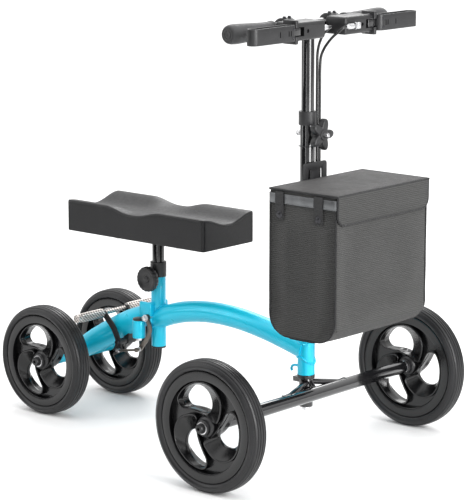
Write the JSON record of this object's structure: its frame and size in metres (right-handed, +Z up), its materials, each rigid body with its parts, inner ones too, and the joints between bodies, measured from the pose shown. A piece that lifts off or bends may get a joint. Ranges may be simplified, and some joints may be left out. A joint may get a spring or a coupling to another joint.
{
  "type": "knee scooter",
  "caption": "Knee scooter with a steered wide front axle, folding adjustable column, front bag, sliding knee rest and loop levers that work a rear bar brake.",
  "frame": {"origin": "on the floor under the middle of the whole scooter's box", "axes": "+X forward, +Y to the rider's left, +Z up"},
  "size_m": [0.8624, 0.651, 0.8167],
  "materials": {
    "blue_paint": "gloss",
    "black_paint": "gloss",
    "black_plastic": "satin",
    "zinc_steel": "satin",
    "tyre_rubber": "matte",
    "grip_rubber": "matte",
    "vinyl": "satin",
    "bag_fabric": "matte",
    "cable_jacket": "satin"
  },
  "bodies": {
    "frame": {"main_tube": "blue_paint", "seat_tube": "blue_paint", "seat_tube_plug": "black_paint", "head_tube": "blue_paint", "rear_bracket": "blue_paint", "rear_arm": "blue_paint", "rear_axle_tube": "blue_paint", "brake_pivot_lug": "black_paint", "seat_collar": "black_paint", "rear_axle_bolt_left": "zinc_steel", "rear_axle_bolt_right": "zinc_steel", "brake_cable_frame": "cable_jacket"},
    "steering": {"front_axle_frame": "black_paint", "steering_stem": "zinc_steel", "stem_nut": "zinc_steel", "lower_bearing": "black_paint", "upper_bearing": "black_paint", "fold_yoke": "black_paint", "front_axle_bolt_left": "zinc_steel", "front_axle_bolt_right": "zinc_steel"},
    "column": {"lower_column": "black_paint", "fold_pin": "zinc_steel", "column_collar": "black_paint", "column_pin": "zinc_steel", "bag_bracket": "black_paint", "bag_body": "bag_fabric", "bag_frame": "zinc_steel", "cable_doubler": "cable_jacket", "brake_cable_bend": "cable_jacket"},
    "fold_lever": {"fold_lever": "black_paint"},
    "star_knob": {"star_knob": "black_plastic"},
    "bag_lid": {"bag_lid": "bag_fabric"},
    "handlebar": {"upper_column": "black_paint", "handlebar": "black_paint", "grip_left": "grip_rubber", "grip_right": "grip_rubber", "lever_housing_left": "black_plastic", "lever_housing_right": "black_plastic", "cable_adjuster_left": "zinc_steel", "cable_adjuster_right": "zinc_steel", "brake_cable_top_left": "cable_jacket", "brake_cable_top_right": "cable_jacket"},
    "loop_left": {"brake_loop_left": "black_plastic"},
    "loop_right": {"brake_loop_right": "black_plastic"},
    "wheel_front_left": {"tyre_front_left": "tyre_rubber", "rim_front_left": "black_plastic"},
    "wheel_front_right": {"tyre_front_right": "tyre_rubber", "rim_front_right": "black_plastic"},
    "wheel_rear_left": {"tyre_rear_left": "tyre_rubber", "rim_rear_left": "black_plastic"},
    "wheel_rear_right": {"tyre_rear_right": "tyre_rubber", "rim_rear_right": "black_plastic"},
    "knee_rest": {"seat_post": "black_paint", "seat_plate": "black_paint", "seat_pad": "vinyl"},
    "seat_knob": {"seat_knob": "black_plastic"},
    "brake": {"brake_yoke": "black_paint", "brake_bar": "zinc_steel"},
    "pull_lever": {"pull_lever": "black_paint"},
    "brake_link": {"brake_link": "zinc_steel"}
  },
  "joints": [
    {"name": "steering_turn", "type": "hinge", "parent": "frame", "child": "steering", "pos_m": [0.2483, 0, 0.15], "axis": [0, 0, 1], "range_deg": [-35, 35], "deforming": ["brake_cable_bend"]},
    {"name": "column_fold", "type": "hinge", "parent": "steering", "child": "column", "pos_m": [0.2483, 0, 0.335], "axis": [0, -1, 0], "range_deg": [0, 45], "deforming": ["brake_cable_bend"]},
    {"name": "fold_lever_swing", "type": "hinge", "parent": "column", "child": "fold_lever", "pos_m": [0.2483, -0.0245, 0.335], "axis": [1, 0, 0], "range_deg": [0, 100]},
    {"name": "star_knob_turn", "type": "hinge", "parent": "column", "child": "star_knob", "pos_m": [0.2483, 0, 0.603], "axis": [1, 0, 0], "continuous": true},
    {"name": "bag_lid_open", "type": "hinge", "parent": "column", "child": "bag_lid", "pos_m": [0.2698, 0, 0.5232], "axis": [0, -1, 0], "range_deg": [0, 60]},
    {"name": "handlebar_height", "type": "slide", "parent": "column", "child": "handlebar", "axis": [0, 0, 1], "range_m": [0, 0.16], "deforming": ["brake_cable_top_left", "brake_cable_top_right"]},
    {"name": "loop_left_pull", "type": "hinge", "parent": "handlebar", "child": "loop_left", "pos_m": [0.3043, 0.1025, 0.7985], "axis": [0, 0, 1], "range_deg": [0, 8], "stiffness_Nm_per_rad": 4, "springref_deg": -5.73},
    {"name": "loop_right_pull", "type": "hinge", "parent": "handlebar", "child": "loop_right", "pos_m": [0.3043, -0.1025, 0.7985], "axis": [0, 0, -1], "range_deg": [0, 8], "stiffness_Nm_per_rad": 4, "springref_deg": -5.73},
    {"name": "wheel_front_left_roll", "type": "hinge", "parent": "steering", "child": "wheel_front_left", "pos_m": [0.2708, 0.294, 0.1197], "axis": [0, 1, 0], "continuous": true},
    {"name": "wheel_front_right_roll", "type": "hinge", "parent": "steering", "child": "wheel_front_right", "pos_m": [0.2708, -0.294, 0.1197], "axis": [0, 1, 0], "continuous": true},
    {"name": "wheel_rear_left_roll", "type": "hinge", "parent": "frame", "child": "wheel_rear_left", "pos_m": [-0.3292, 0.1045, 0.108], "axis": [0, 1, 0], "continuous": true},
    {"name": "wheel_rear_right_roll", "type": "hinge", "parent": "frame", "child": "wheel_rear_right", "pos_m": [-0.3292, -0.1045, 0.108], "axis": [0, 1, 0], "continuous": true},
    {"name": "knee_rest_height", "type": "slide", "parent": "frame", "child": "knee_rest", "axis": [0, 0, 1], "range_m": [-0.028, 0.072]},
    {"name": "seat_knob_turn", "type": "hinge", "parent": "frame", "child": "seat_knob", "pos_m": [-0.1212, 0, 0.2865], "axis": [0, -1, 0], "continuous": true},
    {"name": "brake_press", "type": "hinge", "parent": "frame", "child": "brake", "pos_m": [-0.1992, 0, 0.15], "axis": [0, -1, 0], "range_deg": [0, 11.8], "stiffness_Nm_per_rad": 2, "springref_deg": -8.59},
    {"name": "pull_lever_swing", "type": "hinge", "parent": "frame", "child": "pull_lever", "pos_m": [-0.1227, -0.0325, 0.21], "axis": [0, -1, 0], "range_deg": [0, 3.4]},
    {"name": "brake_link_swing", "type": "hinge", "parent": "brake", "child": "brake_link", "pos_m": [-0.1952, -0.0315, 0.1345], "axis": [0, -1, 0], "range_deg": [-11.8, 0]}
  ],
  "couplings": [
    {"joint": "brake_press", "follows": "loop_right_pull", "ratio": 1.45},
    {"joint": "pull_lever_swing", "follows": "loop_right_pull", "ratio": 0.4},
    {"joint": "brake_link_swing", "follows": "loop_right_pull", "ratio": -1.45}
  ]
}
